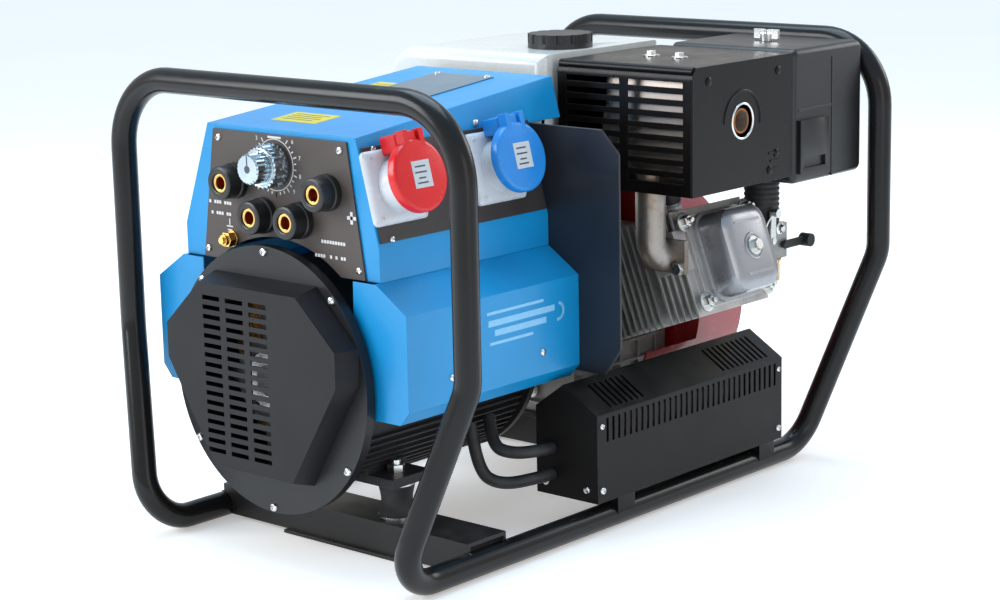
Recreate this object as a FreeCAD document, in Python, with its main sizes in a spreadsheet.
"""Engine driven welder in a tube frame.

Millimetres, +Z up.  +Y runs from the control panel end to the engine end and +X is the machine's
right side.  The origin is the middle of the footprint, on the floor.  Stations along the machine
are distances behind the plane of the front hoop; at() turns a station into a Y value.
"""
import FreeCAD, Part
import math
import os
import Sketcher
from FreeCAD import Placement, Rotation, Vector

doc = FreeCAD.newDocument("engine_driven_welder")
sheet = doc.addObject("Spreadsheet::Sheet", "Dims")

DIMS = {
    # tube frame
    "tube_od": 28, "tube_wall": 2, "frame_span": 740, "frame_width": 504, "hoop_top": 504,
    "rail_spread": 374, "front_lean": 48, "rear_lean": 70, "front_kink": 226, "rear_kink": 250,
    "hoop_bend": 78, "kink_bend": 60, "foot_bend": 48,
    # cross members, mounts and bed
    "foot_plate": 4, "member_deep": 34, "member_wide": 60, "member_wall": 4,
    "front_member": 65, "rear_member": 500, "mount_pitch": 200, "rubber_rad": 20, "rubber_high": 34,
    "mount_washer": 3, "bolt_rad": 5, "bed_plate": 6, "crank_height": 106,
    # alternator
    "axis_x": -42, "shaft_rad": 17, "run_gap": 0.05, "seat_gap": 0.2, "housing_rad": 125, "housing_wall": 7,
    "housing_end": 290, "shield_rad": 146, "shield_thick": 12, "shield_front": 8,
    "stator_front": 100, "stator_long": 120, "stator_bore": 72, "air_gap": 1.5, "coil_long": 38,
    "bell_long": 50, "bell_rear_rad": 100, "fan_rad": 104,
    # louvred end cover
    "cover_deep": 28, "octa_half": 129, "octa_top": 74, "octa_foot": 60, "octa_flare": 8,
    "octa_high": 104, "octa_low": 97, "octa_side_up": 53, "octa_side_down": 15, "sheet_wall": 2,
    "slot_rows": 17, "slot_pitch": 10.5, "slot_high": 5, "slot_wide": 27, "slot_step": 36,
    # sheet metal covers
    "hood_front": 31, "hood_rear": 352, "hood_top": 457, "hood_rise": 32, "hood_mid_x": -36,
    "hood_half": 112.5, "band_half": 148, "shoulder": 344, "band_foot": 309, "baffle_at": 298,
    "bulge_half": 190, "bulge_top": 281, "bulge_foot": 180, "lip_drop": 15, "lip_in": 13,
    "side_front": 24, "side_rear": 298,
    # control panel
    "panel_thick": 2.5, "panel_top": 452, "panel_foot": 310, "panel_top_half": 101,
    "panel_foot_half": 123, "socket_rad": 18, "socket_out": 25, "pin_bore": 6.8, "insert_rad": 10.5,
    "knob_base_rad": 23.5, "knob_cap_rad": 16.5, "knob_base_deep": 22, "knob_cap_deep": 18,
    "spindle_rad": 4, "turn_gap": 0.4,
    # three-phase and single-phase outlets
    "outlet_flange": 78, "outlet_flange_thick": 8, "outlet_barrel": 29,
    "outlet_long": 30, "outlet_lid_rad": 38, "outlet_lid_thick": 13, "outlet_first": 67,
    "outlet_second": 224, "hinge_pin": 2.5,
    # engine
    "engine_front": 340, "cylinder_tilt": 20, "tank_wall": 3, "cap_rad": 38,
    "shroud_rad": 145, "recoil_rad": 118,
    # reactor
    "reactor_front": 257, "reactor_rear": 606, "reactor_in": 118, "reactor_out": 205,
    "reactor_ridge_x": 158, "reactor_ridge": 166, "reactor_eave": 137,
    "cable_rad": 7,
}
for row, (word, number) in enumerate(DIMS.items(), start=1):
    sheet.set("A%d" % row, word)
    sheet.set("B%d" % row, str(number))
    sheet.setAlias("B%d" % row, word)
doc.recompute()


class Size:
    """A length that keeps both its number and the spreadsheet expression it comes from."""

    def __init__(self, value, text=None):
        self.value = float(value)
        self.text = text if text is not None else repr(float(value))

    def __add__(self, other):
        other = size(other)
        return Size(self.value + other.value, "(%s + %s)" % (self.text, other.text))

    def __radd__(self, other):
        return size(other) + self

    def __sub__(self, other):
        other = size(other)
        return Size(self.value - other.value, "(%s - %s)" % (self.text, other.text))

    def __rsub__(self, other):
        return size(other) - self

    def __mul__(self, other):
        other = size(other)
        return Size(self.value * other.value, "(%s * %s)" % (self.text, other.text))

    __rmul__ = __mul__

    def __truediv__(self, other):
        other = size(other)
        return Size(self.value / other.value, "(%s / %s)" % (self.text, other.text))

    def __neg__(self):
        return Size(-self.value, "(-1 * %s)" % self.text)

    def __float__(self):
        return self.value


def size(number):
    return number if isinstance(number, Size) else Size(number)


class Dimensions:
    """Every spreadsheet cell as a Size, by its alias."""

    def __getattr__(self, word):
        return Size(float(sheet.get(word)), "Dims." + word)


D = Dimensions()
tube_rad = D.tube_od / 2
front_leg = math.sqrt((D.frame_width.value - D.rail_spread.value) ** 2 / 4 + D.front_lean.value ** 2
                      + (D.front_kink.value - tube_rad.value) ** 2)
front_turn = math.pi / 2 + math.asin(D.front_lean.value / front_leg)
toe_pull = D.foot_bend * (math.tan(front_turn / 2) - 1)     # how far the foot bend rounds off the toe
hoop_y = -(D.frame_span - D.front_lean + toe_pull) / 2
rail_x = D.rail_spread / 2
hoop_x = D.frame_width / 2
member_top = D.foot_plate + D.member_deep
rubber_foot = member_top + D.mount_washer
rubber_head = rubber_foot + D.rubber_high
bed_z = rubber_head + D.mount_washer
engine_z = bed_z + D.bed_plate
axis_z = engine_z + D.crank_height
axis_x = D.axis_x
mount_off = D.mount_pitch / 2
front_mount = D.front_member + D.member_wide / 2
rear_mount = D.rear_member + D.member_wide / 2


def at(station):
    """Y of a station behind the front hoop plane."""
    return hoop_y + station


nodes = {}
AXES = {"x": Rotation(Vector(0, 1, 0), 90), "y": Rotation(Vector(1, 0, 0), -90), "z": Rotation()}


def bind(obj, **properties):
    for name, value in properties.items():
        value = size(value)
        path = {"px": "Placement.Base.x", "py": "Placement.Base.y", "pz": "Placement.Base.z"}.get(name, name)
        obj.setExpression(path, value.text)
    return obj


def new(kind, name):
    return doc.addObject(kind, name)


def box(name, x0, x1, y0, y1, z0, z1):
    """A block between two values on each axis; the y values are already Y, not stations."""
    x0, x1, y0, y1, z0, z1 = (size(v) for v in (x0, x1, y0, y1, z0, z1))
    return bind(new("Part::Box", name), Length=x1 - x0, Width=y1 - y0, Height=z1 - z0,
                px=x0, py=y0, pz=z0)


def rod(name, axis, rad, start, stop, u, v):
    """A cylinder along an axis from start to stop, centred on u, v of the two other axes."""
    start, stop = size(start), size(stop)
    obj = new("Part::Cylinder", name)
    obj.Placement = Placement(Vector(), AXES[axis])
    where = {"x": (start, u, v), "y": (u, start, v), "z": (u, v, start)}[axis]
    return bind(obj, Radius=rad, Height=stop - start, px=where[0], py=where[1], pz=where[2])


def cone(name, axis, rad0, rad1, start, stop, u, v):
    start, stop = size(start), size(stop)
    obj = new("Part::Cone", name)
    obj.Placement = Placement(Vector(), AXES[axis])
    where = {"x": (start, u, v), "y": (u, start, v), "z": (u, v, start)}[axis]
    return bind(obj, Radius1=rad0, Radius2=rad1, Height=stop - start, px=where[0], py=where[1], pz=where[2])


def hexagon(name, axis, across, start, stop, u, v):
    """A hexagonal prism; across is the distance over its flats."""
    start, stop = size(start), size(stop)
    obj = new("Part::Prism", name)
    obj.Polygon = 6
    obj.Placement = Placement(Vector(), AXES[axis])
    where = {"x": (start, u, v), "y": (u, start, v), "z": (u, v, start)}[axis]
    return bind(obj, Circumradius=size(across) / math.sqrt(3), Height=stop - start,
                px=where[0], py=where[1], pz=where[2])


def fuse(name, *shapes):
    if len(shapes) == 1:
        return shapes[0]
    obj = new("Part::MultiFuse", name)
    obj.Shapes = list(shapes)
    obj.Refine = True
    return obj


def group(name, *shapes):
    """Separate solids that share one node."""
    obj = new("Part::Compound", name)
    obj.Links = list(shapes)
    return obj


def cut(name, base, *tools):
    obj = new("Part::Cut", name)
    obj.Base = base
    obj.Tool = tools[0] if len(tools) == 1 else group(name + "_tools", *tools)
    return obj


def common(name, first, second):
    obj = new("Part::MultiCommon", name)
    obj.Shapes = [first, second]
    return obj


def tube(name, axis, outer, inner, start, stop, u, v):
    return cut(name, rod(name + "_outer", axis, outer, start, stop, u, v),
               rod(name + "_inner", axis, inner, size(start) - 1, size(stop) + 1, u, v))


SKETCH_TURN = {"xy": Rotation(), "xz": Rotation(Vector(1, 0, 0), 90),
               "yz": Rotation(Vector(1, 1, 1), 120)}
SKETCH_SHIFT = {"xy": "pz", "xz": "py", "yz": "px"}
EXTRUDE_WAY = {"xy": Vector(0, 0, 1), "xz": Vector(0, 1, 0), "yz": Vector(1, 0, 0)}


def draw(sketch, points):
    """A closed polygon whose corners are held to the sketch origin by bound distances."""
    points = [(size(u), size(v)) for u, v in points]
    first = sketch.GeometryCount
    count = len(points)
    for i, (u, v) in enumerate(points):
        after = points[(i + 1) % count]
        sketch.addGeometry(Part.LineSegment(Vector(u.value, v.value, 0),
                                            Vector(after[0].value, after[1].value, 0)))
    for i in range(count):
        sketch.addConstraint(Sketcher.Constraint("Coincident", first + i, 2, first + (i + 1) % count, 1))
    for i, (u, v) in enumerate(points):
        for way, value in (("DistanceX", u), ("DistanceY", v)):
            index = sketch.addConstraint(Sketcher.Constraint(way, -1, 1, first + i, 1, value.value))
            sketch.setExpression("Constraints[%d]" % index, value.text)


def outline(name, plane, level, points):
    """A sketch of one closed polygon on a plane at a level along that plane's normal."""
    sketch = new("Sketcher::SketchObject", name)
    sketch.Placement = Placement(Vector(), SKETCH_TURN[plane])
    bind(sketch, **{SKETCH_SHIFT[plane]: level})
    draw(sketch, points)
    return sketch


def slab(name, plane, points, start, stop):
    """A polygon pushed along its plane's normal from start to stop."""
    start, stop = size(start), size(stop)
    obj = new("Part::Extrusion", name)
    obj.Base = outline(name + "_outline", plane, start, points)
    obj.DirMode = "Custom"
    obj.Dir = EXTRUDE_WAY[plane]
    obj.Solid = True
    return bind(obj, LengthFwd=stop - start)


def loft(name, *sections):
    obj = new("Part::Loft", name)
    obj.Sections = list(sections)
    obj.Solid = True
    obj.Ruled = True
    return obj


def rounded(name, base, rad, pick):
    """Fillet the edges of base that pick(edge) accepts."""
    doc.recompute()
    obj = new("Part::Fillet", name)
    obj.Base = base
    rad = float(rad)
    obj.Edges = [(i + 1, rad, rad) for i, edge in enumerate(base.Shape.Edges) if pick(edge)]
    return obj


def runs_along(axis):
    """Accepts straight edges parallel to an axis."""
    want = {"x": Vector(1, 0, 0), "y": Vector(0, 1, 0), "z": Vector(0, 0, 1)}[axis]

    def pick(edge):
        if len(edge.Vertexes) != 2:
            return False
        way = edge.Vertexes[1].Point - edge.Vertexes[0].Point
        return way.Length > 1e-6 and abs(way.normalize().dot(want)) > 0.999
    return pick


def solid_feature(name, shape):
    """A piece whose shape comes straight from Part functions."""
    obj = new("Part::Feature", name)
    obj.Shape = shape
    return obj


def bent_path(points, radii):
    """Straight runs joined by tangent arcs; radii has one value for each inner point."""
    edges = []
    last = points[0]
    for i in range(1, len(points) - 1):
        corner = points[i]
        back = (points[i - 1] - corner).normalize()
        ahead = (points[i + 1] - corner).normalize()
        turn = math.pi - back.getAngle(ahead)
        reach = radii[i - 1] * math.tan(turn / 2)
        start = corner + back * reach
        stop = corner + ahead * reach
        middle_way = (back + ahead).normalize()
        centre = corner + middle_way * (radii[i - 1] / math.cos(turn / 2))
        middle = centre - middle_way * radii[i - 1]
        if (start - last).Length > 1e-6:
            edges.append(Part.LineSegment(last, start).toShape())
        edges.append(Part.Arc(start, middle, stop).toShape())
        last = stop
    edges.append(Part.LineSegment(last, points[-1]).toShape())
    return Part.Wire(edges)


def swept(points, radii, rad, bore=0):
    """A round bar, or a tube when bore is given, along a bent path."""
    path = bent_path(points, radii)
    way = (points[1] - points[0]).normalize()
    shapes = []
    for r in (rad, bore):
        if r:
            ring = Part.Wire([Part.Circle(points[0], way, r).toShape()])
            shapes.append(path.makePipeShell([ring], True, True))
    solids = [Part.Solid(s) if s.ShapeType == "Shell" else s for s in shapes]
    return solids[0].cut(solids[1]) if len(solids) == 2 else solids[0]


def node(name, obj):
    """Give a finished piece its name; the name is its file's name too."""
    obj.Label = name
    nodes[name] = obj
    return obj


# ---------------------------------------------------------------- tube frame

def hoop(top_y, toe_y, kink_z, joint_y):
    """One hoop with its two slanting legs and the bends that turn them into the rails."""
    half, inner, low = hoop_x.value, rail_x.value, tube_rad.value
    top = D.hoop_top.value
    right = [Vector(inner, joint_y, low), Vector(inner, toe_y, low), Vector(half, top_y, kink_z),
             Vector(half, top_y, top)]
    left = [Vector(-p.x, p.y, p.z) for p in reversed(right)]
    foot, kink, corner = D.foot_bend.value, D.kink_bend.value, D.hoop_bend.value
    return swept(right + left, [foot, kink, corner, corner, kink, foot], low, low - D.tube_wall.value)


front_joint = at(Size(18))
rear_joint = at(D.frame_span - D.rear_lean - 40)
node("front_hoop", solid_feature("FrontHoop", hoop(
    hoop_y.value, (hoop_y - D.front_lean).value, D.front_kink.value, front_joint.value)))
node("rear_hoop", solid_feature("RearHoop", hoop(
    at(D.frame_span).value, at(D.frame_span - D.rear_lean).value, D.rear_kink.value, rear_joint.value)))
for side, sign in (("left", -1), ("right", 1)):
    node(side + "_rail", tube(side + "_rail_tube", "y", tube_rad, tube_rad - D.tube_wall,
                              front_joint, rear_joint, rail_x * sign, tube_rad))


def cross_member(name, front):
    """A channel, open downwards, notched over both rails and drilled for its two rubber mounts."""
    y0, y1 = at(front), at(front + D.member_wide)
    wall = D.member_wall
    outer = box(name + "_block", -rail_x, rail_x, y0, y1, D.foot_plate, member_top)
    hollow = box(name + "_hollow", -rail_x - 1, rail_x + 1, y0 + wall, y1 - wall,
                 D.foot_plate - 1, member_top - wall)
    tools = [hollow]
    for sign in (-1, 1):
        tools.append(rod(name + "_notch", "y", tube_rad + D.seat_gap, y0 - 1, y1 + 1, rail_x * sign, tube_rad))
        tools.append(rod(name + "_hole", "z", D.bolt_rad + 0.5, member_top - wall - 1, member_top + 1,
                         axis_x + mount_off * sign, at(front + D.member_wide / 2)))
    return cut(name, outer, *tools)


node("front_cross_member", cross_member("front_member_cut", D.front_member))
node("rear_cross_member", cross_member("rear_member_cut", D.rear_member))
plates = []
for front in (D.front_member, D.rear_member):
    plates.append(box("foot_plate_box", -85, 85, at(front - 5), at(front + D.member_wide), 0, D.foot_plate))
node("foot_plates", group("foot_plate_pair", *plates))

# ---------------------------------------------------------------- rubber mounts and bed

rubbers = []
hardware = []
for station, clamped in ((front_mount, D.bed_plate + 4), (rear_mount, D.bed_plate)):
    for sign in (-1, 1):
        x, y = axis_x + mount_off * sign, at(station)
        rubbers.append(rod("rubber", "z", D.rubber_rad, rubber_foot, rubber_head, x, y))
        hardware.append(fuse("lower_stud",
                             rod("washer", "z", D.rubber_rad, member_top, rubber_foot, x, y),
                             rod("stud", "z", D.bolt_rad, member_top - 16, rubber_foot, x, y),
                             hexagon("nut", "z", 17, member_top - D.member_wall - 8,
                                     member_top - D.member_wall, x, y)))
        hardware.append(fuse("upper_stud",
                             rod("washer", "z", D.rubber_rad, rubber_head, bed_z, x, y),
                             rod("stud", "z", D.bolt_rad, rubber_head, bed_z + clamped + 13, x, y),
                             hexagon("nut", "z", 17, bed_z + clamped, bed_z + clamped + 8, x, y)))
node("rubber_mounts", group("rubber_set", *rubbers))

bed_half = mount_off + 25
bed_front, bed_back = at(D.engine_front + 45), at(D.rear_member + D.member_wide)
node("engine_bed", cut("bed_cut",
                       box("bed_box", axis_x - bed_half, axis_x + bed_half, bed_front, bed_back, bed_z, engine_z),
                       *[rod("bed_hole", "z", D.bolt_rad + 0.5, bed_z - 1, engine_z + 1,
                             axis_x + mount_off * sign, at(rear_mount)) for sign in (-1, 1)]))

# ---------------------------------------------------------------- alternator

housing_front = D.shield_front + D.shield_thick
housing_bore = D.housing_rad - D.housing_wall
foot_thick = D.bed_plate + 4
shell = rod("housing_shell", "y", D.housing_rad, at(housing_front), at(D.housing_end), axis_x, axis_z)
feet = []
holes = [rod("housing_bore", "y", housing_bore, at(housing_front - 1), at(D.housing_end + 1), axis_x, axis_z)]
for sign in (-1, 1):
    inner_x, outer_x = axis_x + (mount_off - 34) * sign, axis_x + (mount_off + 24) * sign
    low_x, high_x = (outer_x, inner_x) if sign < 0 else (inner_x, outer_x)
    feet.append(box("housing_foot", low_x, high_x, at(D.front_member), at(D.front_member + D.member_wide),
                    bed_z, bed_z + foot_thick))
    rib_in, rib_out = axis_x + (mount_off - 20) * sign, axis_x + (mount_off - 14) * sign
    rib_lo, rib_hi = (rib_out, rib_in) if sign < 0 else (rib_in, rib_out)
    feet.append(box("foot_rib", rib_lo, rib_hi, at(D.front_member), at(D.front_member + D.member_wide),
                    bed_z, axis_z - 70))
    holes.append(rod("foot_hole", "z", D.bolt_rad + 0.5, bed_z - 1, bed_z + foot_thick + 1,
                     axis_x + mount_off * sign, at(front_mount)))
node("alternator_housing", cut("housing_cut", fuse("housing_body", shell, *feet), *holes))

ring = cut("shield_ring",
           rod("shield_disc", "y", D.shield_rad, at(D.shield_front), at(housing_front), axis_x, axis_z),
           rod("shield_window", "y", 108, at(D.shield_front - 1), at(housing_front + 1), axis_x, axis_z))
hub = rod("shield_hub", "y", 44, at(D.shield_front - 4), at(housing_front + 4), axis_x, axis_z)
spokes = [box("shield_spoke_flat", axis_x - 112, axis_x + 112, at(D.shield_front), at(housing_front),
              axis_z - 7, axis_z + 7),
          box("shield_spoke_up", axis_x - 7, axis_x + 7, at(D.shield_front), at(housing_front),
              axis_z - 112, axis_z + 112)]
bearing_rad = D.shaft_rad + 15
node("end_shield", cut("shield_cut", fuse("shield_body", ring, hub, *spokes),
                       rod("bearing_seat", "y", bearing_rad, at(D.shield_front - 5), at(housing_front + 5),
                           axis_x, axis_z)))
node("end_bearing", tube("bearing", "y", bearing_rad, D.shaft_rad + D.run_gap, at(D.shield_front - 2),
                         at(housing_front + 2), axis_x, axis_z))

stator_back = D.stator_front + D.stator_long
node("stator_core", tube("stator", "y", housing_bore, D.stator_bore, at(D.stator_front), at(stator_back),
                         axis_x, axis_z))
coils = []
for start in (D.stator_front - D.coil_long, stator_back):
    plain = tube("coil_ring", "y", housing_bore - 6, D.stator_bore + 6, at(start), at(start + D.coil_long),
                 axis_x, axis_z)
    coils.append(rounded("coil_head", plain, 9, lambda edge: edge.Curve.TypeId == "Part::GeomCircle"))
node("stator_windings", group("coil_pair", *coils))

shaft_end = D.engine_front
node("rotor", fuse("rotor_body",
                   rod("rotor_core", "y", D.stator_bore - D.air_gap, at(D.stator_front), at(stator_back),
                       axis_x, axis_z),
                   rod("rotor_shaft", "y", D.shaft_rad, at(D.shield_front - 2), at(shaft_end), axis_x, axis_z),
                   rod("pole_coil_front", "y", 58, at(D.stator_front - 22), at(D.stator_front), axis_x, axis_z),
                   rod("pole_coil_back", "y", 58, at(stator_back), at(stator_back + 20), axis_x, axis_z)))
fan_front = stator_back + D.coil_long + 3
fan_disc = rod("fan_disc", "y", D.fan_rad, at(fan_front), at(fan_front + 4), axis_x, axis_z)
blades = []
for i in range(10):
    blade = box("fan_blade", 34, D.fan_rad - 2, at(fan_front + 3), at(fan_front + 26), -1.5, 1.5)
    turned = new("Part::Compound", "turned_blade")
    turned.Links = [blade]
    turned.Placement = Placement(Vector(), Rotation(Vector(0, 1, 0), 36 * i))
    bind(turned, px=axis_x, pz=axis_z)
    blades.append(turned)
fan_hub = rod("fan_hub", "y", 36, at(fan_front), at(fan_front + 26), axis_x, axis_z)
node("cooling_fan", cut("fan_cut", fuse("fan_body", fan_disc, fan_hub, *blades),
                        rod("fan_bore", "y", D.shaft_rad, at(fan_front - 1), at(fan_front + 27), axis_x, axis_z)))

bell_end = D.housing_end + D.bell_long
bell = fuse("bell_body",
            rod("bell_flange", "y", D.housing_rad + 7, at(D.housing_end), at(D.housing_end + 8), axis_x, axis_z),
            cone("bell_skirt", "y", D.housing_rad, D.bell_rear_rad, at(D.housing_end + 8), at(bell_end),
                 axis_x, axis_z))
hollow = [cone("bell_hollow", "y", D.housing_rad - 8, D.bell_rear_rad - 8, at(D.housing_end - 0.01),
               at(bell_end - 8), axis_x, axis_z),
          rod("bell_pilot", "y", 40, at(bell_end - 9), at(bell_end + 1), axis_x, axis_z)]
for i in range(4):
    window = box("bell_window", -30, 30, at(D.housing_end + 14), at(bell_end - 14), 80, 140)
    turned = new("Part::Compound", "turned_window")
    turned.Links = [window]
    turned.Placement = Placement(Vector(), Rotation(Vector(0, 1, 0), 90 * i + 45))
    hollow.append(bind(turned, px=axis_x, pz=axis_z))
node("adaptor_bell", cut("bell_cut", bell, *hollow))


def octagon(grow):
    """The end cover's outline: narrow top and foot, upright flanks, grown outwards by grow."""
    side, top, foot = D.octa_half + grow, D.octa_top + grow / 2, D.octa_foot + grow / 2
    high, low = axis_z + D.octa_high + grow, axis_z - D.octa_low - grow
    up, down = axis_z + D.octa_side_up, axis_z + D.octa_side_down
    right = [(foot, low), (side, down), (side, up), (top, high)]
    return [(axis_x + u, v) for u, v in right] + [(axis_x - u, v) for u, v in reversed(right)]


cover_front = D.shield_front - D.cover_deep
skin = loft("octa_skin", outline("octa_face", "xz", at(cover_front), octagon(Size(0))),
            outline("octa_rim", "xz", at(D.shield_front), octagon(D.octa_flare)))
inside = loft("octa_inside",
              outline("octa_face_in", "xz", at(cover_front + D.sheet_wall), octagon(-D.sheet_wall)),
              outline("octa_rim_in", "xz", at(D.shield_front + 1), octagon(D.octa_flare - D.sheet_wall)))
slots = []
slot_top = axis_z + D.slot_pitch * (D.slot_rows - 1) / 2 + 4
for column in (-1, 0, 1):
    for i in range(int(D.slot_rows.value)):
        middle = slot_top - D.slot_pitch * i
        x = axis_x - 20 + D.slot_step * column
        slots.append(box("octa_slot", x - D.slot_wide / 2, x + D.slot_wide / 2, at(cover_front - 1),
                         at(cover_front + D.sheet_wall + 1), middle - D.slot_high / 2, middle + D.slot_high / 2))
node("louvred_end_cover", cut("octa_cut", skin, inside, *slots))

# ---------------------------------------------------------------- hood and side covers

hood_mid = D.hood_mid_x
band_right, band_left = axis_x + D.band_half, axis_x - D.band_half
hood_peak = D.hood_top + D.hood_rise
lean_right = (band_right - hood_mid - D.hood_half) / (D.hood_top - D.shoulder)
lean_left = (hood_mid - D.hood_half - band_left) / (D.hood_top - D.shoulder)


def hood_section(wall):
    """The hood's cross section, drawn in by wall on the sides; the top is trimmed later."""
    peak = hood_peak + 10
    below = 1 if float(wall) > 0 else 0
    right = [(band_right - wall, D.band_foot - below), (band_right - wall, D.shoulder),
             (band_right - wall - lean_right * (peak - D.shoulder), peak)]
    left = [(band_left + wall, D.band_foot - below), (band_left + wall, D.shoulder),
            (band_left + wall + lean_left * (peak - D.shoulder), peak)]
    return right + left[::-1]


def above_roof(name, drop):
    """What is trimmed away above the sloping roof, lowered by drop."""
    y0, y1 = at(D.hood_front), at(D.hood_rear)
    lift = D.hood_rise / (D.hood_rear - D.hood_front) * 5
    return slab(name, "yz", [(y0 - 5, D.hood_top - lift - drop), (y1 + 5, hood_peak + lift - drop),
                             (y1 + 5, hood_peak + 60), (y0 - 5, hood_peak + 60)], -300, 300)


wall = D.sheet_wall
outer = cut("hood_outer", slab("hood_block", "xz", hood_section(Size(0)), at(D.hood_front), at(D.hood_rear)),
            above_roof("roof_trim", Size(0)))
inner = cut("hood_inner", slab("hood_room", "xz", hood_section(wall), at(D.hood_front + wall), at(D.hood_rear + 1)),
            above_roof("roof_trim_inner", wall))
panel_hole = slab("panel_hole", "xz", [
    (hood_mid - D.panel_foot_half + 14, D.panel_foot + 12), (hood_mid + D.panel_foot_half - 14, D.panel_foot + 12),
    (hood_mid + D.panel_top_half - 12, D.panel_top - 12), (hood_mid - D.panel_top_half + 12, D.panel_top - 12)],
    at(D.hood_front - 1), at(D.hood_front + wall + 1))
arc_rad = D.shield_rad + 4
node("hood", cut("hood_cut", outer, inner, panel_hole,
                 rod("hood_arc", "y", arc_rad, at(D.hood_front - 1), at(D.hood_front + wall + 1), axis_x, axis_z),
                 box("hood_notch", -300, 300, at(D.baffle_at), at(D.hood_rear + 1), 250, 443)))


def side_cover(sign, name):
    """A bulged side sheet with a closing wall at each end that reaches in to the alternator."""
    def out(offset):
        return axis_x + offset * sign
    band, bulge, lip = D.band_half, D.bulge_half, D.bulge_half - D.lip_in
    low = D.bulge_foot - D.lip_drop
    sheet_points = [(out(band - 4), D.band_foot), (out(band), D.band_foot), (out(bulge), D.bulge_top),
                    (out(bulge), D.bulge_foot), (out(lip), low), (out(lip - 1.6), low + 1.3),
                    (out(bulge - wall), D.bulge_foot + 0.8), (out(bulge - wall), D.bulge_top - 1.1),
                    (out(band - 0.6), D.band_foot - wall), (out(band - 4), D.band_foot - wall)]
    end_points = [(out(115), D.band_foot), (out(band), D.band_foot), (out(bulge), D.bulge_top),
                  (out(bulge), D.bulge_foot), (out(lip), low), (out(112), low)]
    skin = slab(name + "_skin", "xz", sheet_points, at(D.side_front), at(D.side_rear))
    front = cut(name + "_front",
                slab(name + "_front_sheet", "xz", end_points, at(D.side_front), at(D.side_front + wall)),
                rod(name + "_front_arc", "y", D.housing_rad + D.seat_gap, at(D.side_front - 1),
                    at(D.side_front + wall + 1), axis_x, axis_z))
    back = cut(name + "_back",
               slab(name + "_back_sheet", "xz", end_points, at(D.side_rear - wall), at(D.side_rear)),
               rod(name + "_back_arc", "y", D.housing_rad + 7 + D.seat_gap, at(D.side_rear - wall - 1),
                   at(D.side_rear + 1), axis_x, axis_z))
    return fuse(name, skin, front, back)


node("right_side_cover", side_cover(1, "right_cover"))
node("left_side_cover", side_cover(-1, "left_cover"))

node("baffle_plate", cut("baffle_cut", slab("baffle_sheet", "xz", [
    (-200, 172), (184, 172), (206, 203), (206, 418), (182, 443), (-200, 443)], at(D.baffle_at), at(D.baffle_at + 3)),
    rod("baffle_hole", "y", D.housing_rad + 0.3, at(D.baffle_at - 1), at(D.baffle_at + 4), axis_x, axis_z)))

# ---------------------------------------------------------------- control panel

panel_y = at(D.hood_front)
panel_face = panel_y - D.panel_thick
socket_mid = hood_mid + 3
socket_places = [(socket_mid - 70.5, Size(398)), (socket_mid - 27.5, Size(364.5)),
                 (socket_mid + 27.5, Size(364.5)), (socket_mid + 70.5, Size(398))]
knob_x, knob_z = hood_mid - 5, Size(420)
earth_x, earth_z = hood_mid - 76, Size(334)
stem_rad = D.socket_rad - 4
panel_tools = [rod("panel_arc", "y", arc_rad + 2, panel_face - 1, panel_y + 1, axis_x, axis_z),
               rod("spindle_hole", "y", D.spindle_rad + D.run_gap, panel_face - 1, panel_y + 1, knob_x, knob_z),
               rod("earth_hole", "y", 4, panel_face - 1, panel_y + 1, earth_x, earth_z)]
panel_tools += [rod("socket_hole", "y", stem_rad, panel_face - 1, panel_y + 1, x, z) for x, z in socket_places]
panel = cut("panel_cut", slab("panel_sheet", "xz", [
    (hood_mid - D.panel_foot_half, D.panel_foot), (hood_mid + D.panel_foot_half, D.panel_foot),
    (hood_mid + D.panel_top_half, D.panel_top), (hood_mid - D.panel_top_half, D.panel_top)],
    panel_face, panel_y), *panel_tools)
bushing = tube("spindle_bushing", "y", 8, D.spindle_rad + D.run_gap, panel_y, panel_y + 13, knob_x, knob_z)
node("control_panel", fuse("panel_all", panel, bushing))

socket_front = panel_face - D.socket_out
bore_long = D.socket_out + 8
bodies, inserts = [], []
for x, z in socket_places:
    shape = fuse("socket_shape", rod("socket_cap", "y", D.socket_rad, socket_front, panel_face, x, z),
                 rod("socket_stem", "y", stem_rad, panel_face, panel_y + 16, x, z))
    bodies.append(cut("socket_body", shape,
                      rod("insert_seat", "y", D.insert_rad, socket_front - 1, panel_y + 17, x, z)))
    inserts.append(cut("socket_insert", rod("insert_bar", "y", D.insert_rad, socket_front + 2, panel_y + 20, x, z),
                       rod("insert_bore", "y", D.pin_bore, socket_front + 1, socket_front + 2 + bore_long, x, z)))
node("weld_sockets", group("socket_set", *bodies))
node("socket_contacts", group("contact_set", *inserts))

knob_foot = panel_face - D.turn_gap
knob_step = knob_foot - D.knob_base_deep
knob_tip = knob_step - D.knob_cap_deep
ribs = []
for i in range(16):
    rib = rod("knob_groove", "y", 1.6, knob_step - 1, knob_foot - 3, 0, 0)
    angle = math.radians(22.5 * i)
    bind(rib, px=knob_x + D.knob_base_rad * math.cos(angle), pz=knob_z + D.knob_base_rad * math.sin(angle))
    ribs.append(rib)
node("selector_knob", cut("knob_cut", fuse("knob_body",
     rod("knob_base", "y", D.knob_base_rad, knob_step, knob_foot, knob_x, knob_z),
     rod("knob_cap", "y", D.knob_cap_rad, knob_tip, knob_step, knob_x, knob_z),
     rod("knob_spindle", "y", D.spindle_rad, knob_foot, panel_y + 12, knob_x, knob_z)), *ribs))
earth_nut_foot = panel_face - 2.5 - 0.3
node("earth_stud", fuse("earth_body",
     rod("earth_bar", "y", 4, panel_face - 18, panel_y + 12, earth_x, earth_z),
     rod("earth_washer", "y", 9, panel_face - 2.5, panel_face, earth_x, earth_z)))
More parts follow.
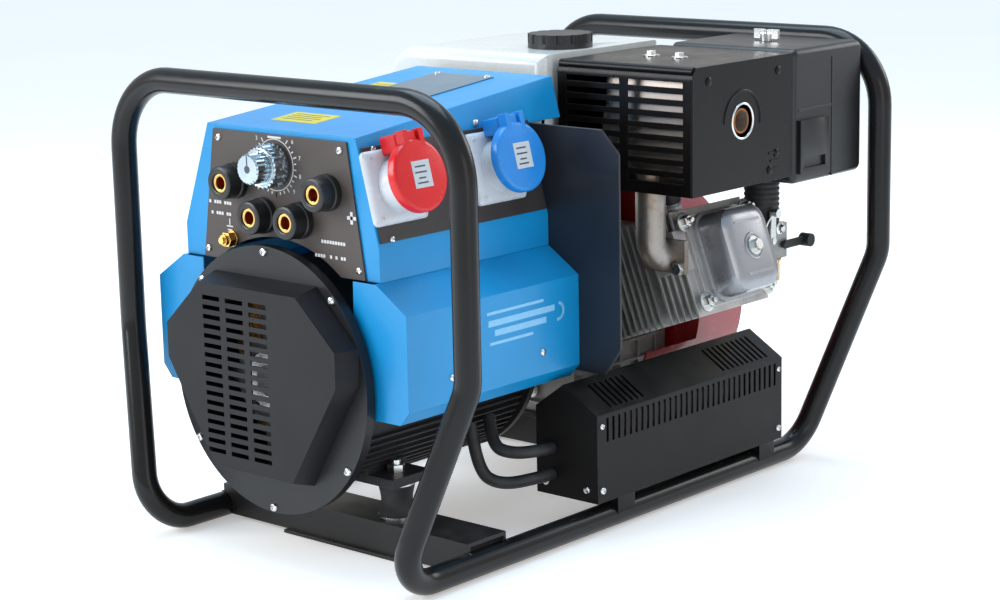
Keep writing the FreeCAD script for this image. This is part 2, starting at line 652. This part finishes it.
node("earth_nut", cut("earth_nut_cut", fuse("earth_nut_body",
     hexagon("earth_hex", "y", 15, earth_nut_foot - 8, earth_nut_foot, earth_x, earth_z),
     rod("earth_collar", "y", 6, earth_nut_foot - 12, earth_nut_foot - 8, earth_x, earth_z)),
     rod("earth_thread", "y", 4 + D.run_gap, earth_nut_foot - 13, earth_nut_foot + 1, earth_x, earth_z)))

# ---------------------------------------------------------------- outlets on the right side

plate_mid_z = Size(398)
outlet_mid_z = Size(404)
plate_thick = Size(2.5)


def on_slope(name, parts, station, height):
    """Carry parts drawn about the origin, +X outwards, on to the hood's sloping right side."""
    obj = group(name, *parts)
    obj.Placement = Placement(Vector(), Rotation(Vector(0, -1, 0), 10))
    obj.setExpression("Placement.Rotation.Angle", "atan(%s)" % lean_right.text)
    return bind(obj, px=band_right - lean_right * (height - D.shoulder), py=at(station), pz=height)


plate_front, plate_back = D.hood_front + 3, D.baffle_at - 3
node("socket_plate", on_slope("slope_plate", [
    box("plate_sheet", 0, plate_thick, 0, plate_back - plate_front, -50, 50)], plate_front, plate_mid_z))

flange_half = D.outlet_flange / 2
flange_top = plate_thick + D.outlet_flange_thick
barrel_end = flange_top + D.outlet_long - 6
lid_gap = Size(0.5)
lid_rise = Size(4)
cup_rad = D.outlet_barrel - 4
pin_x = barrel_end + 7
pin_z = lid_rise + D.outlet_lid_rad + 6


def outlet(colour, station):
    """A panel outlet: grey flange and barrel with a hinged round lid, closed."""
    body = fuse(colour + "_outlet_body",
                box("outlet_flange", plate_thick, flange_top, -flange_half, flange_half, -flange_half, flange_half),
                rod("outlet_barrel", "x", D.outlet_barrel, flange_top, barrel_end, 0, 0),
                box("hinge_post", flange_top, pin_x - 4, -7, 7, pin_z - 14, pin_z - 6),
                box("hinge_post_foot", flange_top, flange_top + 9, -7, 7, D.outlet_barrel - 6, pin_z - 6),
                box("hinge_ear", pin_x - 6, pin_x + 3, -7, 7, pin_z - 9, pin_z + 3))
    cup = rod("outlet_cup", "x", cup_rad, plate_thick + 4, barrel_end + 1, 0, 0)
    pin_hole = rod("outlet_pin_hole", "y", D.hinge_pin + D.run_gap, -8, 8, pin_x, pin_z)
    pins = [rod("contact_pin", "x", 3, plate_thick + 3.5, barrel_end - 6, 13 * math.cos(a), 13 * math.sin(a))
            for a in (math.pi / 2, math.pi * 7 / 6, math.pi * 11 / 6)]
    housing = fuse(colour + "_housing", cut(colour + "_shell", body, cup, pin_hole), *pins)
    node(colour + "_outlet", on_slope(colour + "_outlet_set", [housing], station, outlet_mid_z))
    lid_in, lid_out = barrel_end + lid_gap, barrel_end + lid_gap + D.outlet_lid_thick
    lid = fuse(colour + "_lid_body",
               rod("lid_disc", "x", D.outlet_lid_rad, lid_in, lid_out, 0, lid_rise),
               box("lid_arm_left", lid_in, lid_out, -15, -7.5, lid_rise + 20, pin_z + 4),
               box("lid_arm_right", lid_in, lid_out, 7.5, 15, lid_rise + 20, pin_z + 4),
               rod("lid_pin", "y", D.hinge_pin, -12, 12, pin_x, pin_z))
    room = box("lid_room", lid_in - 1, lid_out + 1, -7.5, 7.5, pin_z - 15, pin_z + 8)
    trimmed = fuse(colour + "_lid_set", cut(colour + "_lid_cut", lid, room),
                   rod("lid_pin_core", "y", D.hinge_pin, -12, 12, pin_x, pin_z))
    node(colour + "_lid", on_slope(colour + "_lid_place", [trimmed], station, outlet_mid_z))


outlet("red", D.outlet_first)
outlet("blue", D.outlet_second)

# ---------------------------------------------------------------- cover screws

screws = []
for degree in (45, 90, 135, 215, 270, 325):
    angle = math.radians(degree)
    screws.append(rod("shield_screw", "y", 4.5, at(D.shield_front - 3), at(D.shield_front),
                      axis_x + (D.shield_rad - 6) * math.cos(angle), axis_z + (D.shield_rad - 6) * math.sin(angle)))
for sign in (-1, 1):
    screws.append(rod("panel_screw", "y", 3, panel_face - 2, panel_face,
                      hood_mid + (D.panel_top_half - 9) * sign, D.panel_top - 9))
    screws.append(rod("panel_screw", "y", 3, panel_face - 2, panel_face,
                      hood_mid + (D.panel_foot_half - 8) * sign, D.panel_foot + 10))
    side = axis_x + D.bulge_half * sign
    low, high = (side - 2.5, side) if sign < 0 else (side, side + 2.5)
    for station in (D.side_front + 60, D.side_rear - 60):
        screws.append(rod("cover_screw", "x", 4, low, high, at(station), D.bulge_foot + 60))
node("cover_screws", group("screw_set", *screws))

# ---------------------------------------------------------------- engine

cylinder_at = D.engine_front + 172
case_front, case_back = D.engine_front + 58, D.engine_front + 232
shroud_front, shroud_back = case_back + 8, case_back + 96


def on_cylinder(name, *parts):
    """Carry parts drawn along +X on to the tilted cylinder, whose line crosses the crank axis."""
    obj = group(name, *parts)
    obj.Placement = Placement(Vector(), Rotation(Vector(0, -1, 0), 20))
    obj.setExpression("Placement.Rotation.Angle", "Dims.cylinder_tilt")
    return bind(obj, px=axis_x, py=at(cylinder_at), pz=axis_z)


head_in, head_out, cover_out = Size(190), Size(248), Size(290)
fins = [box("barrel_core", 60, head_in, -52, 52, -50, 50)]
for i in range(9):
    x = 104 + i * 9.5
    fins.append(box("barrel_fin", x, x + 3, -66, 66, -62, 62))
barrel = on_cylinder("barrel_place", fuse("barrel", *fins))
tank_foot = axis_z + D.shroud_rad + 17
case = rounded("case_round", box("case_box", axis_x - 98, axis_x + 98, at(case_front), at(case_back),
                                 engine_z + 10, axis_z + 96), 22, runs_along("y"))
block = fuse("block_body", case, barrel,
             cone("side_case", "y", D.bell_rear_rad, 88, at(bell_end), at(bell_end + 20), axis_x, axis_z),
             rod("side_case_neck", "y", 84, at(bell_end + 20), at(case_front), axis_x, axis_z),
             rod("shroud_seat", "y", 80, at(case_back - 1), at(shroud_front), axis_x, axis_z),
             box("case_base", axis_x - 78, axis_x + 78, at(case_front - 8), at(case_back), engine_z, engine_z + 12),
             box("tank_post_front", axis_x - 70, axis_x + 30, at(case_front + 4), at(case_front + 18),
                 axis_z + 90, tank_foot),
             box("tank_post_back", axis_x - 70, axis_x + 30, at(case_back - 18), at(case_back - 4),
                 axis_z + 90, tank_foot))
web_front, web_back = case_front + 62, case_front + 122
filler_y, filler_z = at(case_front + 34), engine_z + 42
block_tools = [
    rod("crank_bore", "y", D.shaft_rad + D.run_gap, at(bell_end - 1), at(shroud_front + 1), axis_x, axis_z),
    rod("crank_room", "y", 72, at(web_front - 10), at(web_back + 10), axis_x, axis_z),
    rod("filler_hole", "x", 10.3, axis_x - 99, axis_x - 88, filler_y, filler_z)]
node("engine_block", cut("block_cut", block, *block_tools))

crank_nose = Size(14)
node("crankshaft", fuse("crank_body",
     rod("crank_main", "y", D.shaft_rad, at(shaft_end), at(web_front), axis_x, axis_z),
     rod("crank_web_front", "y", 60, at(web_front), at(web_front + 18), axis_x, axis_z),
     rod("crank_pin", "y", 18, at(web_front + 18), at(web_back - 18), axis_x, axis_z + 33),
     rod("crank_web_back", "y", 60, at(web_back - 18), at(web_back), axis_x, axis_z),
     rod("crank_tail", "y", D.shaft_rad, at(web_back), at(shroud_front), axis_x, axis_z),
     rod("crank_nose", "y", crank_nose, at(shroud_front), at(case_back + 62), axis_x, axis_z)))
wheel_front = case_back + 28
node("flywheel", tube("flywheel_rim", "y", 118, crank_nose, at(wheel_front), at(wheel_front + 24), axis_x, axis_z))

head_fins = [rounded("head_core", box("head_box", head_in, head_out, -56, 56, -54, 54), 12, runs_along("x"))]
for i in range(5):
    x = 196 + i * 10
    head_fins.append(box("head_fin", x, x + 3.5, -68, 68, -62, 62))
head_fins.append(box("exhaust_port", 206, 242, -76, -50, -6, 40))
head_fins.append(box("inlet_port", 206, 242, 50, 72, -18, 28))
node("cylinder_head", on_cylinder("head_place", fuse("head", *head_fins)))
rim = rounded("valve_rim_round", box("valve_rim", head_out, head_out + 5, -48, 48, -54, 54), 22, runs_along("x"))
dome = rounded("valve_dome_round", box("valve_dome", head_out + 5, cover_out, -44, 44, -50, 50), 24, runs_along("x"))
dome = rounded("valve_dome_soft", dome, 8, lambda edge: edge.BoundBox.XMin > cover_out.value - 0.1)
node("valve_cover", on_cylinder("valve_place", fuse("valve_body", rim, dome)))

tilt_x, tilt_z = math.cos(math.radians(20)), math.sin(math.radians(20))
bolt_x, bolt_z = axis_x + cover_out * tilt_x, axis_z + cover_out * tilt_z
cover_bolt = on_cylinder("cover_bolt_place", fuse("cover_bolt",
    rod("bolt_washer", "x", 11, cover_out, cover_out + 2, 0, 0),
    hexagon("bolt_head", "x", 12, cover_out + 2, cover_out + 9, 0, 0)))
hardware.append(cover_bolt)

elbow_x = axis_x + 226 * tilt_x - 17 * tilt_z
elbow_z = axis_z + 226 * tilt_z + 17 * tilt_x
port_y = at(cylinder_at) - 76
elbow_rad = Size(17)
guard_foot, guard_top = Size(361), Size(503)
elbow_points = [Vector(float(elbow_x), float(port_y), float(elbow_z)),
                Vector(float(elbow_x), float(port_y) - 30, float(elbow_z)),
                Vector(float(elbow_x), float(port_y) - 30, float(guard_foot) + 22)]
elbow_pipe = solid_feature("ElbowPipe", swept(elbow_points, [24], elbow_rad.value))
node("exhaust_elbow", fuse("elbow_body", elbow_pipe,
     box("elbow_flange", elbow_x - 30, elbow_x + 30, port_y - 7, port_y, elbow_z - 19, elbow_z + 19)))
for sign in (-1, 1):
    hardware.append(hexagon("elbow_nut", "y", 13, port_y - 14, port_y - 7, elbow_x + 22 * sign,
                            elbow_z - 13 * sign))

guard_front, guard_back = Size(386), Size(576)
guard_in, guard_out = Size(48), Size(238)
can_x, can_z, can_rad = Size(146), Size(431), Size(46)
node("muffler", cut("muffler_cut", fuse("muffler_body",
     rod("muffler_can", "y", can_rad, at(guard_front + 16), at(guard_back - 16), can_x, can_z),
     rod("muffler_tail", "x", 14, can_x, guard_out - 1.5, at(479), 436)),
     rod("muffler_tail_bore", "x", 12, can_x + can_rad + 2, guard_out, at(479), 436)))
sheet_t = Size(1.5)


def guard_block(name, inset, low):
    """The guard's outside, or its inside when inset; the top front edge is rolled."""
    block = box(name, guard_in + inset, guard_out - inset, at(guard_front + inset), at(guard_back - inset),
                low, guard_top - inset)
    doc.recompute()
    front = at(guard_front + inset).value
    top = (guard_top - inset).value
    return rounded(name + "_round", block, 14 - float(inset),
                   lambda edge: runs_along("x")(edge) and abs(edge.Vertexes[0].Point.y - front) < 0.1
                   and abs(edge.Vertexes[0].Point.z - top) < 0.1)


guard_slots = [rod("tail_hole", "x", 19, guard_out - 10, guard_out + 1, at(479), 436)]
for column in (0, 1):
    for i in range(9):
        x = guard_in + 13 + 88 * column
        z = guard_foot + 14 + 13.2 * i
        guard_slots.append(box("guard_slot", x, x + 76, at(guard_front - 1), at(guard_front + 3), z, z + 6.5))
guard_slots.append(rod("elbow_way", "z", elbow_rad + 0.5, guard_foot - 1, guard_foot + 5, elbow_x, port_y - 30))
guard_floor = box("guard_floor", guard_in + 1, guard_out - 1, at(guard_front + 1), at(guard_back - 1),
                  guard_foot, guard_foot + sheet_t)
guard_saddle = box("guard_saddle", can_x - 20, can_x + 20, at(guard_front + 46), at(guard_back - 30),
                   guard_foot + sheet_t, can_z - 40)
saddle = cut("guard_saddle_cut", guard_saddle,
             rod("saddle_seat", "y", can_rad + D.seat_gap, at(guard_front), at(guard_back), can_x, can_z))
guard_hull = cut("guard_hull", guard_block("guard_outer", Size(0), guard_foot),
                 guard_block("guard_inner", sheet_t, guard_foot - 1))
node("muffler_guard", fuse("guard_all", cut("guard_cut", fuse("guard_body", guard_hull, guard_floor),
                                            *guard_slots), saddle))
for x in (guard_in + 70, guard_in + 110):
    hardware.append(hexagon("guard_bolt", "z", 10, guard_top, guard_top + 6, x, at(470)))

# carburettor on the far side of the head, then the air cleaner over it
inlet_y = at(cylinder_at) + 72
inlet_x = axis_x + 224 * tilt_x - 5 * tilt_z
inlet_z = axis_z + 224 * tilt_z + 5 * tilt_x
cleaner_foot = Size(350)
carb_y = inlet_y + 34
node("carburettor", fuse("carb_body",
     box("carb_flange", inlet_x - 28, inlet_x + 28, inlet_y, inlet_y + 8, inlet_z - 20, inlet_z + 20),
     box("carb_throat", inlet_x - 20, inlet_x + 20, inlet_y + 8, inlet_y + 58, inlet_z - 20, inlet_z + 22),
     rod("carb_bowl", "z", 22, inlet_z - 46, inlet_z - 20, inlet_x, carb_y),
     rod("carb_drain", "z", 4, inlet_z - 52, inlet_z - 46, inlet_x, carb_y),
     rod("carb_elbow", "z", 19, inlet_z + 22, cleaner_foot, inlet_x, carb_y)))
lever_x = inlet_x + 20
throttle_y = inlet_y + 24
node("throttle_lever", fuse("throttle_body",
     rod("throttle_pivot", "x", 4, lever_x + 0.3, lever_x + 6, throttle_y, inlet_z + 4),
     box("throttle_arm", lever_x + 2, lever_x + 4.5, throttle_y - 5, throttle_y + 5, inlet_z + 4, inlet_z + 40),
     rod("throttle_knob", "x", 5.5, lever_x + 4, lever_x + 12, throttle_y, inlet_z + 38)))
node("choke_lever", fuse("choke_body",
     rod("choke_pivot", "x", 4, lever_x + 0.3, lever_x + 6, inlet_y + 48, inlet_z - 4),
     box("choke_arm", lever_x + 2, lever_x + 4.5, inlet_y + 48, inlet_y + 92, inlet_z - 9, inlet_z + 1),
     rod("choke_knob", "x", 8, lever_x - 2, lever_x + 12, inlet_y + 92, inlet_z - 4)))

cleaner_in, cleaner_out = Size(64), Size(238)
cleaner_front, cleaner_back, cleaner_top = guard_back + 3, Size(724), Size(506)
case_outer = rounded("cleaner_round",
                     box("cleaner_box", cleaner_in, cleaner_out, at(cleaner_front), at(cleaner_back),
                         cleaner_foot, cleaner_top), 10, runs_along("x"))
case_outer = rounded("cleaner_soft", case_outer, 8, lambda edge: edge.BoundBox.XMin > cleaner_out.value - 0.1)
room = box("cleaner_room", cleaner_in + 4, cleaner_out - 4, at(cleaner_front + 4), at(cleaner_back - 4),
           cleaner_foot + 4, cleaner_top - 4)
snorkel = box("snorkel", cleaner_out, cleaner_out + 5, at(cleaner_front + 8), at(cleaner_front + 66),
              cleaner_foot + 12, cleaner_foot + 74)
node("air_cleaner", cut("cleaner_cut", fuse("cleaner_body", case_outer, snorkel), room,
     box("snorkel_slot", cleaner_out + 1, cleaner_out + 6, at(cleaner_front + 15), at(cleaner_front + 59),
         cleaner_foot + 18, cleaner_foot + 30)))
nut_x, nut_y = Size(150), at((cleaner_front + cleaner_back) / 2)
hardware.append(rod("cleaner_stud", "z", 3, cleaner_top, cleaner_top + 13, nut_x, nut_y))
node("air_cleaner_nut", cut("cleaner_nut_cut", fuse("cleaner_nut_body",
     rod("wing_hub", "z", 8, cleaner_top + 0.3, cleaner_top + 9, nut_x, nut_y),
     box("wings", nut_x - 17, nut_x + 17, nut_y - 2, nut_y + 2, cleaner_top + 3, cleaner_top + 14)),
     rod("wing_bore", "z", 3 + D.run_gap, cleaner_top - 1, cleaner_top + 15, nut_x, nut_y)))

# fan shroud, recoil starter, switch and oil filler
shroud = cut("shroud_shell",
             rod("shroud_drum", "y", D.shroud_rad, at(shroud_front), at(shroud_back), axis_x, axis_z),
             rod("shroud_room", "y", D.shroud_rad - 3, at(shroud_front + 3), at(shroud_back - 3), axis_x, axis_z),
             rod("shroud_eye", "y", 60, at(shroud_front - 1), at(shroud_front + 4), axis_x, axis_z),
             rod("shroud_mouth", "y", 98, at(shroud_back - 4), at(shroud_back + 1), axis_x, axis_z))
guide = common("guide", tube("guide_tube", "y", D.shroud_rad, D.shroud_rad - 3, at(shroud_front - 96),
                             at(shroud_front + 1), axis_x, axis_z),
               box("guide_part", axis_x + 100, axis_x + 150, at(shroud_front - 97), at(shroud_front + 1),
                   axis_z - 65, axis_z - 40))
switch_x = axis_x - D.shroud_rad
switch_y, switch_z = at(shroud_front + 44), axis_z + 10
pin_rad, pin_x = Size(2), switch_x - 17.5
switch_case = cut("switch_case", box("switch_case_box", switch_x - 20, switch_x + 4, switch_y - 16, switch_y + 16,
                                     switch_z - 22, switch_z + 22),
                  rod("switch_case_trim", "y", D.shroud_rad - 3, at(shroud_front), at(shroud_back),
                      axis_x, axis_z),
                  rod("rocker_pin_hole", "y", pin_rad + 0.3, switch_y - 12.3, switch_y + 12.3, pin_x, switch_z),
                  box("switch_recess", switch_x - 21, switch_x - 13, switch_y - 8.3, switch_y + 8.3,
                      switch_z - 13.5, switch_z + 13.5))
node("fan_shroud", fuse("shroud_all", shroud, guide, switch_case))
node("engine_switch", fuse("switch_all",
     box("switch_rocker", switch_x - 25, switch_x - 17, switch_y - 8, switch_y + 8, switch_z - 12, switch_z + 12),
     rod("rocker_pin", "y", pin_rad, switch_y - 12, switch_y + 12, pin_x, switch_z)))

recoil_back = shroud_back + 40
grip_y, grip_z = at(shroud_back + 20), axis_z + 58
recoil_side = axis_x + 112
recoil_shell = cut("recoil_shell",
     fuse("recoil_solid",
          rod("recoil_drum", "y", D.recoil_rad, at(shroud_back), at(recoil_back - 10), axis_x, axis_z),
          cone("recoil_dome", "y", D.recoil_rad, D.recoil_rad - 20, at(recoil_back - 10), at(recoil_back),
               axis_x, axis_z),
          box("grip_boss", axis_x + 92, recoil_side, grip_y - 11, grip_y + 11, grip_z - 11, grip_z + 11)),
     rod("recoil_room", "y", D.recoil_rad - 4, at(shroud_back - 1), at(recoil_back - 12), axis_x, axis_z),
     rod("rope_way", "x", 3, axis_x, recoil_side + 1, grip_y, grip_z),
     *[bind(rod("recoil_vent", "y", 7, at(recoil_back - 20), at(recoil_back + 1), 0, 0),
            px=axis_x + 68 * math.cos(math.radians(30 * i)), pz=axis_z + 68 * math.sin(math.radians(30 * i)))
       for i in range(12)])
node("recoil_starter", fuse("recoil_all", recoil_shell,
     rod("recoil_axle", "y", 12, at(shroud_back + 14), at(recoil_back - 12), axis_x, axis_z)))
grip = rounded("grip_round", box("grip_box", recoil_side + 0.3, recoil_side + 20.3, grip_y - 11, grip_y + 11,
                                 grip_z - 27, grip_z + 27), 7, runs_along("y"))
node("recoil_grip", fuse("grip_all", grip,
     rod("rope", "x", 2, axis_x - 10, recoil_side + 2, grip_y, grip_z)))
node("oil_filler_cap", fuse("oil_cap_all",
     rod("oil_cap_head", "x", 16, axis_x - 98 - 12, axis_x - 98 - 0.3, filler_y, filler_z),
     rod("oil_cap_thread", "x", 10, axis_x - 98 - 0.3, axis_x - 89, filler_y, filler_z)))

# fuel tank and its cap
tank_left, tank_right, tank_top = Size(-212), Size(38), tank_foot + 156
tank_front, tank_back = Size(372), Size(592)
cap_x, cap_y = Size(-9), at(460)
tank_solid = box("tank_box", tank_left, tank_right, at(tank_front), at(tank_back), tank_foot, tank_top)
doc.recompute()
tank_solid = rounded("tank_shoulder", tank_solid, 48,
                     lambda edge: runs_along("y")(edge) and edge.Vertexes[0].Point.x < -200
                     and edge.Vertexes[0].Point.z > 500)
tank_solid = rounded("tank_edges", tank_solid, 14, lambda edge: runs_along("z")(edge) or (
    runs_along("x")(edge) and edge.Vertexes[0].Point.z > 500))
tank_room = box("tank_room", tank_left + 14, tank_right - D.tank_wall, at(tank_front + D.tank_wall),
                at(tank_back - D.tank_wall), tank_foot + D.tank_wall, tank_top - 40)
neck_rad = Size(28)
node("fuel_tank", cut("tank_cut", fuse("tank_all", tank_solid,
     rod("tank_neck", "z", neck_rad + 3, tank_top - 20, tank_top + 3, cap_x, cap_y)), tank_room,
     box("tank_room_high", tank_left + 52, tank_right - 14, at(tank_front + 16), at(tank_back - 16),
         tank_top - 41, tank_top - D.tank_wall),
     rod("tank_mouth", "z", neck_rad, tank_top - 30, tank_top + 5, cap_x, cap_y)))
notches = []
for i in range(14):
    angle = math.radians(360 / 14 * i)
    notch = rod("cap_notch", "z", 4, tank_top + 6, tank_top + 20, 0, 0)
    notches.append(bind(notch, px=cap_x + (D.cap_rad + 1.5) * math.cos(angle),
                        py=cap_y + (D.cap_rad + 1.5) * math.sin(angle)))
cap_foot = tank_top + 0.4
node("tank_cap", cut("cap_cut", rod("cap_disc", "z", D.cap_rad, cap_foot, cap_foot + 16, cap_x, cap_y),
     rod("cap_room", "z", neck_rad + 3.4, cap_foot - 1, tank_top + 3.3, cap_x, cap_y), *notches))

# ---------------------------------------------------------------- welding reactor on the right rail

r_front, r_back = at(D.reactor_front), at(D.reactor_rear)
floor_top = member_top + 3


def house(inset, low):
    """The reactor box's end outline: two upright sides under a ridge."""
    return [(D.reactor_in + inset, low), (D.reactor_out - inset, low), (D.reactor_out - inset, D.reactor_eave),
            (D.reactor_ridge_x, D.reactor_ridge - inset * 1.1), (D.reactor_in + inset, D.reactor_eave)]


vents = []
for first, count in ((30, 7), (D.reactor_rear - D.reactor_front - 110, 10)):
    for i in range(count):
        y = r_front + first + 9.5 * i
        vents.append(box("roof_vent", D.reactor_ridge_x + 8, D.reactor_out - 6, y, y + 4,
                         D.reactor_eave + 1, D.reactor_ridge + 2))
for i in range(32):
    y = r_front + 16 + 10.2 * i
    vents.append(box("side_vent", D.reactor_out - 4, D.reactor_out + 1, y, y + 4, D.reactor_eave - 32,
                     D.reactor_eave - 5))
cable_rad = D.cable_rad
cable_ends = [(Size(140), Size(62)), (Size(140), Size(92))]
vents += [rod("cable_hole", "y", cable_rad, r_front - 1, r_front + 3, x, z) for x, z in cable_ends]
node("reactor_cover", cut("reactor_cut", slab("reactor_house", "xz", house(Size(0), floor_top), r_front, r_back),
                          slab("reactor_room", "xz", house(D.sheet_wall, floor_top - 1), r_front + D.sheet_wall,
                               r_back - D.sheet_wall), *vents))
saddles = []
for station in (D.reactor_front + 40, D.reactor_rear - 40):
    saddles.append(cut("saddle_cut", box("reactor_saddle", rail_x - 14, rail_x + 14, at(station), at(station + 30),
                                         tube_rad, member_top),
                       rod("saddle_round", "y", tube_rad + D.seat_gap, at(station - 1), at(station + 31),
                           rail_x, tube_rad)))
node("reactor_base", fuse("reactor_base_all",
     box("reactor_floor", D.reactor_in, D.reactor_out, r_front, r_back, member_top, floor_top), *saddles))
core_in, core_out = D.reactor_in + 18, D.reactor_out - 14
core = cut("core_cut", box("core_block", core_in, core_out, r_front + 60, r_back - 60, floor_top, 124),
           box("core_window", core_in - 1, core_out + 1, r_front + 84, r_front + 160, floor_top + 22, 102),
           box("core_window", core_in - 1, core_out + 1, r_back - 160, r_back - 84, floor_top + 22, 102))
node("reactor_core", core)
limb_front, limb_back = r_front + 160, r_back - 160
winding = cut("winding_cut",
              rounded("winding_round", box("winding_block", core_in - 12, core_out + 10, limb_front - 40,
                                           limb_back + 40, floor_top + 24, 100), 10, runs_along("z")),
              box("winding_hole", core_in, core_out, limb_front, limb_back, floor_top + 20, 104))
node("reactor_winding", winding)

leads = []
lead_routes = [
    [(Size(76), Size(196), Size(122)), (Size(92), Size(186), Size(74)), (Size(112), Size(202), Size(56))],
    [(Size(80), Size(222), Size(126)), (Size(96), Size(206), Size(98)), (Size(118), Size(216), Size(90))],
]
for number, (route, (end_x, end_z)) in enumerate(zip(lead_routes, cable_ends)):
    points = [Vector(float(x), at(station).value, float(z)) for x, station, z in route]
    points.append(Vector(float(end_x), (r_front + D.sheet_wall).value - 18, float(end_z)))
    points.append(Vector(float(end_x), (r_front + D.sheet_wall).value + 2, float(end_z)))
    radii = []
    for i in range(1, len(points) - 1):
        before, after = points[i - 1] - points[i], points[i + 1] - points[i]
        turn = math.pi - before.getAngle(after)
        radii.append(0.45 * min(before.Length, after.Length) / math.tan(turn / 2))
    print("cable %d radii" % number, [round(r, 1) for r in radii])
    leads.append(solid_feature("Lead%d" % number, swept(points, radii, cable_rad.value)))
node("reactor_cables", group("cable_pair", *leads))

node("hex_hardware", group("hardware_set", *hardware))

# ---------------------------------------------------------------- checks and files

doc.recompute()
for obj in doc.Objects:
    if "Invalid" in obj.State or "Error" in obj.State:
        raise RuntimeError("%s (%s) failed: %s" % (obj.Name, obj.Label, obj.State))
for name, obj in nodes.items():
    if obj.Shape.isNull() or not obj.Shape.isValid() or not obj.Shape.Solids:
        raise RuntimeError("%s has no valid solid" % name)
os.makedirs("parts", exist_ok=True)
for name, obj in nodes.items():
    obj.Shape.exportStep(os.path.join("parts", name + ".step"))
print("wrote %d parts" % len(nodes))
